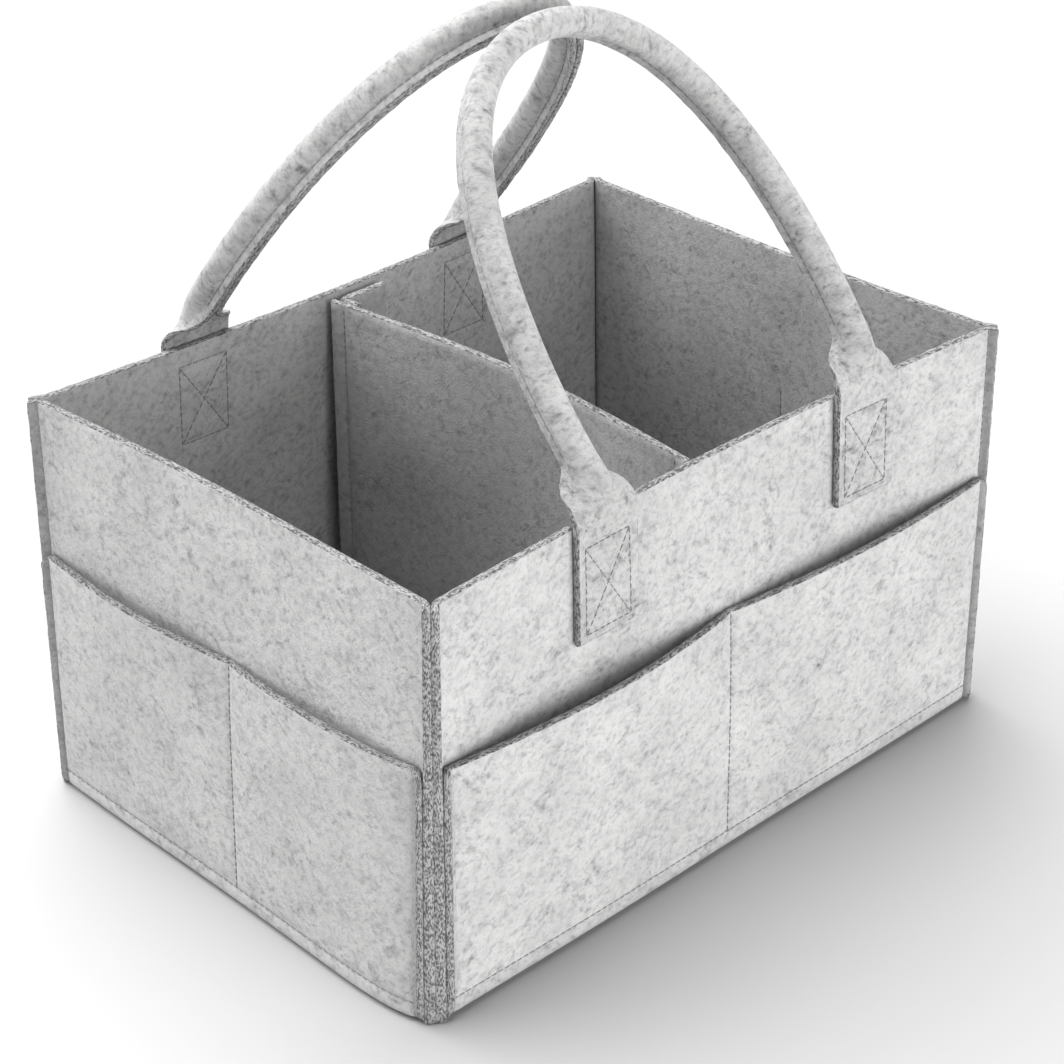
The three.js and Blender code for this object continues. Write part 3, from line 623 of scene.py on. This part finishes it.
def strip_at(side, w, t, layer):
    """Raw strip: w across, t along from the left hinge line, so a flat end has t below 0 or past the arch."""
    outward = SIDES[side][0]
    along = np.cross(UP, outward)
    end = np.where(t < ARCH_LENGTH / 2, -1.0, 1.0)
    from_hinge = np.where(end < 0, t, ARCH_LENGTH - t)
    tab_s = HANDLE_OFFSET + end * HANDLE_SPREAD - end * w
    tab = on_panel(side, tab_s, TAB_TOP + from_hinge, POCKET_BACK + layer * FELT)
    roll = np.sin(np.clip((from_hinge - ROLL_START) / (ROLL_END - ROLL_START), 0, 1) * math.pi / 2)
    square = smooth(from_hinge, 0, ROLL_END)
    x, up = np.interp(t, ARCH_GONE, ARCH[:, 0]), np.interp(t, ARCH_GONE, ARCH[:, 1])
    step = 0.001
    slope_x = np.interp(t + step, ARCH_GONE, ARCH[:, 0]) - np.interp(t - step, ARCH_GONE, ARCH[:, 0])
    slope_up = np.interp(t + step, ARCH_GONE, ARCH[:, 1]) - np.interp(t - step, ARCH_GONE, ARCH[:, 1])
    length = np.maximum(np.hypot(slope_x, slope_up), 1e-9)
    across_x, across_up = -end + (slope_up / length + end) * square, -slope_x / length * square
    length = np.hypot(across_x, across_up)
    across, behind = rolled(w, roll, layer)
    x, reach = x + across * across_x / length, up + across * across_up / length
    slant, inward, risen = way_up(reach, HANDLE_LEAN)
    x = x + HANDLE_OFFSET * (1 - reach / ARCH_HEIGHT)
    n = HINGE_OUT - inward - behind * np.cos(slant)
    z = TAB_TOP + risen - behind * np.sin(slant)
    loop = x[..., None] * along + n[..., None] * outward + z[..., None] * UP
    return np.where((from_hinge > 0)[..., None], loop, tab)


RIM_EASE = 0.006  # half the length of strip over which the bend at the rim is eased
RIM_NEAR, RIM_FAR = 0.002, 0.014  # from the rim: where that easing starts to fade, and where it ends
RIM_SAMPLES = 7
RIM_FOLD = 0.012  # height over which the strip folds at the rim when the handle swings


def handle_at(side):
    """The strip with its bend at the rim eased over a short length."""
    def place(w, t, layer):
        near = np.minimum(np.abs(t), np.abs(t - ARCH_LENGTH))
        window = RIM_EASE * (1 - smooth(near, RIM_NEAR, RIM_FAR))
        shifts = np.linspace(-1, 1, RIM_SAMPLES)
        return sum(strip_at(side, w, t + shift * window, layer) for shift in shifts) / RIM_SAMPLES
    return place


HANDLE_PALE, HANDLE_FLECK = (0.355, 0.355, 0.353, 1), (0.012, 0.012, 0.012, 1)
handle_looks = [felt_look("handle_felt_face", HANDLE_PALE, HANDLE_FLECK), cut_look]
FIN_SEAM = STRIP_HALF - 0.0036
ROLL_STEP, ARCH_STEP = 0.0009, 0.003  # marks across the strip and along it
BEND_END = 0.034  # from the rim: as far as the marks along the strip are closer

for side in ("front", "back"):
    place = handle_at(side)
    low, high = -TAB_LENGTH, ARCH_LENGTH + TAB_LENGTH
    tab_seams = cross_box(0, TAB_TOP)
    tab_seams += [[(w, ARCH_LENGTH - t) for w, t in seam] for seam in tab_seams]
    tube_seams = [[(w, ROLL_END), (w, ARCH_LENGTH - ROLL_END)] for w in (-FIN_SEAM, FIN_SEAM)]
    rims = [(low, BEND_END, EDGE_STEP), (ARCH_LENGTH - BEND_END, high, EDGE_STEP)]
    handle = cut_felt(f"{side}_handle", ruled(-STRIP_HALF, STRIP_HALF, ROLL_STEP),
                      ruled(low, high, ARCH_STEP, *rims), place, handle_looks, tab_seams + tube_seams)
    sew("root", tab_seams, place, 1)
    sew(f"{side}_handle", tube_seams, place, 1)
    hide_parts(f"{side}_handle_loop", f"{side}_handle_tab_left", f"{side}_handle_tab_right")
    outward = SIDES[side][0]
    hinge = outward * HINGE_OUT + UP * TAB_TOP
    tuple(hinge + RIM_FOLD * UP)
    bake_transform(handle)


# Fastening tape: a strip of loop tape sewn to the inside of each long wall, and a strip of hook tape on
# each end of the divider. The loops are a soft brushed pile and the hooks stand in close rows.
TAPE_HALF = 0.010
TAPE, TAPE_EDGE = 0.0015, 0.0003  # its thickness, and how far its edges are rounded
LOOP_PITCH, HOOK_PITCH = 0.0011, 0.0015
TAPE_STEP = 0.003
TAPE_GRID = (ruled(-TAPE_HALF, TAPE_HALF, EDGE_STEP), ruled(TAPE_FOOT, TAPE_TOP, TAPE_STEP))
TAPE_GREY, TAPE_DARK = (0.36, 0.36, 0.365, 1), (0.20, 0.20, 0.205, 1)


def tape_look(name, pitch, soft):
    """Woven tape: its knobs stand a pitch apart, in even rows or, where they are soft, in loose ones."""
    material, nodes = new_look(name)
    cloth = nodes.node("ShaderNodeAttribute", {"attribute_name": "cloth"}, {}, "Vector")
    knobs = cloth.node("ShaderNodeTexVoronoi", {"feature": "F1"}, {
        "Vector": cloth, "Scale": 1 / pitch, "Randomness": soft}, "Distance")
    fuzz = noise(cloth, 0.0007, 3.0)
    stand = 1 - rising(knobs, 0.15, 0.6)
    colour = blended(stand * 0.6 + fuzz * 0.4, TAPE_DARK, TAPE_GREY)
    finished(nodes, colour, 0.85 - 0.2 * stand, stand + fuzz * soft, 0.0008, 0.1)
    return material


loop_look = tape_look("loop_tape_pile", LOOP_PITCH, 1.0)
for side in ("front", "back"):
    tape_middle = np.cross(UP, SIDES[side][0])[0] * TAPE_X

    def tape_at(s, v, layer, side=side, tape_middle=tape_middle):
        return on_panel(side, tape_middle - s, v, WALL_BACK - LAY - layer * TAPE)

    loop_tape = cut_felt(f"{side}_loop_strip", *TAPE_GRID, tape_at, [loop_look, loop_look],
                         thick=TAPE, edge=TAPE_EDGE)
    sew("root", tape_stitching(0), tape_at, 1, TAPE)
    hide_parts(f"{side}_loop_tape")
    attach(loop_tape, "root")


# Divider: a felt partition that stands on the floor panel. A strip folded to an angle is sewn to each end,
# with a narrow wing on the partition and a broad one along the wall. The broad wings carry the hook tape,
# so the whole divider peels off the walls and lifts out.
DIVIDER_PALE = (0.31, 0.31, 0.308, 1)
divider_looks = [felt_look("divider_felt_face", DIVIDER_PALE, WALL_FLECK), cut_look]
web_low, web_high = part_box("divider_web")
WEB_END = web_high.y
WING_LINE = 0.007  # from the end of the partition to the stitches that hold an angle strip
SEWN_END, SEWN_STEP = 0.012, 0.0009  # width of the partition's sewn ends, and the marks on them
DIVIDER_X, DIVIDER_SKEW, DIVIDER_BOW = -0.013, 0.0008, 0.008  # where it stands, askew and in a bow


def web_middle(y):
    """Plan line of the partition: a little longer than the caddy is wide, it stands in a bow."""
    return DIVIDER_X + DIVIDER_SKEW * y / WEB_END + DIVIDER_BOW * np.cos(math.pi / 2 * y / WEB_END)


def web_at(s, v, layer):
    # a slow wave that dies out at both ends
    ease = EASE * np.cos(math.pi / 2 * s / WEB_END) * np.sin(9 * v + 14 * s)
    return np.stack((web_middle(s) + (layer - 0.5) * FELT + ease, s, v), -1)


web_ends = (WING_LINE - WEB_END, WEB_END - WING_LINE)
web_seams = [[(end, web_low.z + SEAM_INSET), (end, web_high.z - SEAM_INSET)] for end in web_ends]
web_columns = [(-WEB_END, SEWN_END - WEB_END, SEWN_STEP), (WEB_END - SEWN_END, WEB_END, SEWN_STEP)]
web = cut_felt("divider_partition", ruled(-WEB_END, WEB_END, OPEN_STEP, *web_columns),
               ruled(web_low.z, web_high.z, OPEN_STEP), web_at, divider_looks, under=web_seams)
sew("divider", web_seams, web_at, 0)
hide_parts("divider_web")
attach(web, "divider")

FOLD = 0.0002  # inner radius of the folded angle
FOLD_HALF = (FOLD + FELT / 2) * math.pi / 4
WING_WIDTH = 0.008
WING_STEP, FOLD_STEP = 0.002, 0.0004  # marks on the wings and over the fold
WING = FOLD_HALF + WING_WIDTH - FOLD
hook_look = tape_look("hook_tape_rows", HOOK_PITCH, 0.25)
for side in ("front", "back"):
    outward = SIDES[side][0]
    along = np.cross(UP, outward)
    angle_low, angle_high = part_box(f"divider_{side}_flange")
    angle_face = max(abs(angle_low.y), abs(angle_high.y))
    broad = FOLD_HALF + angle_high.x - angle_low.x - FELT - FOLD
    hook_face = max(abs(corner.y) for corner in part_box(f"divider_{side}_hook_tape"))
    fold_x, fold_y = angle_low.x + FELT + FOLD, angle_face - FELT - FOLD

    def angle_at(s, v, layer, outward=outward, along=along, fold_x=fold_x, fold_y=fold_y):
        gone = s * along[0]
        turn = np.clip(gone / FOLD_HALF + 1, 0, 2) * math.pi / 4
        radius = FOLD + layer * FELT
        x = fold_x - radius * np.cos(turn) + np.maximum(gone - FOLD_HALF, 0)
        wing = np.maximum(-gone - FOLD_HALF, 0)
        y = fold_y + radius * np.sin(turn) - wing
        x = x + web_middle(outward[1] * (fold_y - wing)) - web_middle(outward[1] * fold_y)
        return np.stack((x, outward[1] * y, v), -1)

    def hook_at(s, v, layer, outward=outward, along=along, face=hook_face):
        y = outward[1] * (face - (1 - layer) * TAPE) + 0 * s
        return np.stack((TAPE_X + s * along[0], y, v), -1)

    angle_seams = tape_stitching(along[0] * (FOLD_HALF + TAPE_X - angle_low.x - FELT - FOLD))
    wing_line = -along[0] * (FOLD_HALF + fold_y - WEB_END + WING_LINE)
    angle_seams.append([(wing_line, angle_low.z + SEAM_INSET), (wing_line, angle_high.z - SEAM_INSET)])
    across_ends = sorted((-along[0] * WING, along[0] * broad))
    closer = [beside(seam[0][0], WING_STEP, SEAM_STEP) for seam in angle_seams]
    angle_strip = cut_felt(f"divider_{side}_angle_strip",
                           ruled(*across_ends, WING_STEP, (-FOLD_HALF, FOLD_HALF, FOLD_STEP), *closer),
                           ruled(angle_low.z, angle_high.z, OPEN_STEP), angle_at, divider_looks,
                           under=angle_seams)
    sew("divider", angle_seams, angle_at, 0)
    hook_tape = cut_felt(f"divider_{side}_hook_strip", *TAPE_GRID, hook_at, [hook_look, hook_look],
                         thick=TAPE, edge=TAPE_EDGE)
    sew("divider", tape_stitching(0), hook_at, 1, TAPE)
    for piece, node, slot in ((angle_strip, "flange", "divider_felt"), (hook_tape, "hook_tape", "hook_tape")):
        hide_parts(f"divider_{side}_{node}")
        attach(piece, "divider")


# Sewing thread: spun grey polyester in single lockstitches, drawn down into the felt. All the stitches of
# one moving part are one piece.
THREAD_PALE, THREAD_DARK = (0.26, 0.26, 0.26, 1), (0.15, 0.15, 0.152, 1)
thread_look, nodes = new_look("grey_thread")
spot = nodes.node("ShaderNodeTexCoord", {}, {}, "Object")
plies = noise(spot, 0.0003, 1.0)
thread_colour = blended(rising(plies, 0.35, 0.65), THREAD_DARK, THREAD_PALE)
finished(nodes, thread_colour, 0.6 + 0.1 * plies, plies, 0.0001, 0.0)

for body, runs in thread_runs.items():
    stitches = np.concatenate(runs)
    count, rings, sides = stitches.shape[:3]
    at = np.arange(count * rings * sides).reshape(count, rings, sides)
    low, high = at[:, :-1], at[:, 1:]
    walls = np.stack((low, high, np.roll(high, -1, 2), np.roll(low, -1, 2)), -1).reshape(-1, 4)
    caps = np.concatenate((at[:, 0], at[:, -1, ::-1]))
    mesh = bpy.data.meshes.new(f"{body}_stitching")
    mesh.from_pydata(stitches.reshape(-1, 3).tolist(), [], walls.tolist() + caps.tolist())
    mesh.polygons.foreach_set("use_smooth", np.ones(len(mesh.polygons), bool))
    mesh.materials.append(thread_look)
    stitching = bpy.data.objects.new(f"{body}_stitching", mesh)
    bpy.context.scene.collection.objects.link(stitching)
    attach(stitching, body)


# Studio: a seamless pale table, a very broad light overhead from behind, two wide low fills that reach the
# front and the left side, and a weak one that looks over the front rim on to the inside.
TABLE_GREY = (0.42, 0.42, 0.42, 1)
SURROUND = 0.12  # strength of the even white light from all round
table_look, nodes = new_look("pale_table")
table_shader = nodes.node("ShaderNodeBsdfPrincipled", {}, {
    "Base Color": TABLE_GREY, "Roughness": 0.9, "Specular IOR Level": 0.1})
nodes.node("ShaderNodeOutputMaterial", {}, {"Surface": table_shader})


def level_sheet(name, half_x, half_y, z):
    corners = [(x * half_x, y * half_y, z) for x, y in ((-1, -1), (1, -1), (1, 1), (-1, 1))]
    mesh = bpy.data.meshes.new(name)
    mesh.from_pydata(corners, [], [(0, 1, 2, 3)])
    mesh.materials.append(table_look)
    sheet = bpy.data.objects.new(name, mesh)
    bpy.context.scene.collection.objects.link(sheet)
    sheet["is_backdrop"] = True
    return sheet


# The fills come up through the table, as light off a pale one does, but not close under the caddy
TABLE_HALF = 6.0
table = level_sheet("table", TABLE_HALF, TABLE_HALF, 0)
table.visible_shadow = False
CORE_MARGIN_X, CORE_MARGIN_Y, CORE_DEPTH = 0.026, 0.020, 0.0008
level_sheet("table_core", HALF_X + CORE_MARGIN_X, HALF_Y + CORE_MARGIN_Y, -CORE_DEPTH)

world = bpy.data.worlds.new("surround")
world.use_nodes = True
world.node_tree.nodes["Background"].inputs["Color"].default_value = (1, 1, 1, 1)
world.node_tree.nodes["Background"].inputs["Strength"].default_value = SURROUND
bpy.context.scene.world = world


def broad_light(name, turn, rise, spread, strength):
    """A distant light, turned round the caddy from its front and raised, with its angular spread."""
    light = bpy.data.lights.new(name, "SUN")
    light.angle = math.radians(spread)
    light.energy = strength
    lamp = bpy.data.objects.new(name, light)
    lamp.rotation_euler = (math.radians(90 - rise), 0, math.radians(turn))
    bpy.context.scene.collection.objects.link(lamp)


broad_light("overhead_light", -182, 58, 80, 7.8)
broad_light("front_fill", 12, -8, 64, 4.2)
broad_light("inner_fill", -12, 34, 30, 0.7)
broad_light("left_fill", -88, 8, 50, 1.6)

# Camera: above the near left corner, at the distance of a long lens.
CAMERA_TURN, CAMERA_RISE, CAMERA_ROLL = math.radians(-44.88), math.radians(29.29), math.radians(-0.24)
CAMERA_AWAY, CAMERA_AIM = 1.23096, np.array((0.00536, 0.00124, 0.09833))
FOCAL_PIXELS, FRAME_PIXELS = 2948.12, 1064
camera = bpy.data.objects.new("camera", bpy.data.cameras.new("camera"))
camera.data.sensor_width = 36
camera.data.lens = camera.data.sensor_width * FOCAL_PIXELS / FRAME_PIXELS
camera.data.clip_end = 50
turned = Euler((math.pi / 2 - CAMERA_RISE, 0, CAMERA_TURN)).to_matrix() @ Matrix.Rotation(CAMERA_ROLL, 3, "Z")
camera.rotation_euler = turned.to_euler()
camera.location = CAMERA_AIM + CAMERA_AWAY * np.array(turned.col[2])
bpy.context.scene.collection.objects.link(camera)
bpy.context.scene.camera = camera
bpy.context.scene.view_settings.view_transform = "Standard"

boxes = {"cad": cad_box, "visual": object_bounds()}
{name: [list(corner) for corner in box] for name, box in boxes.items()}
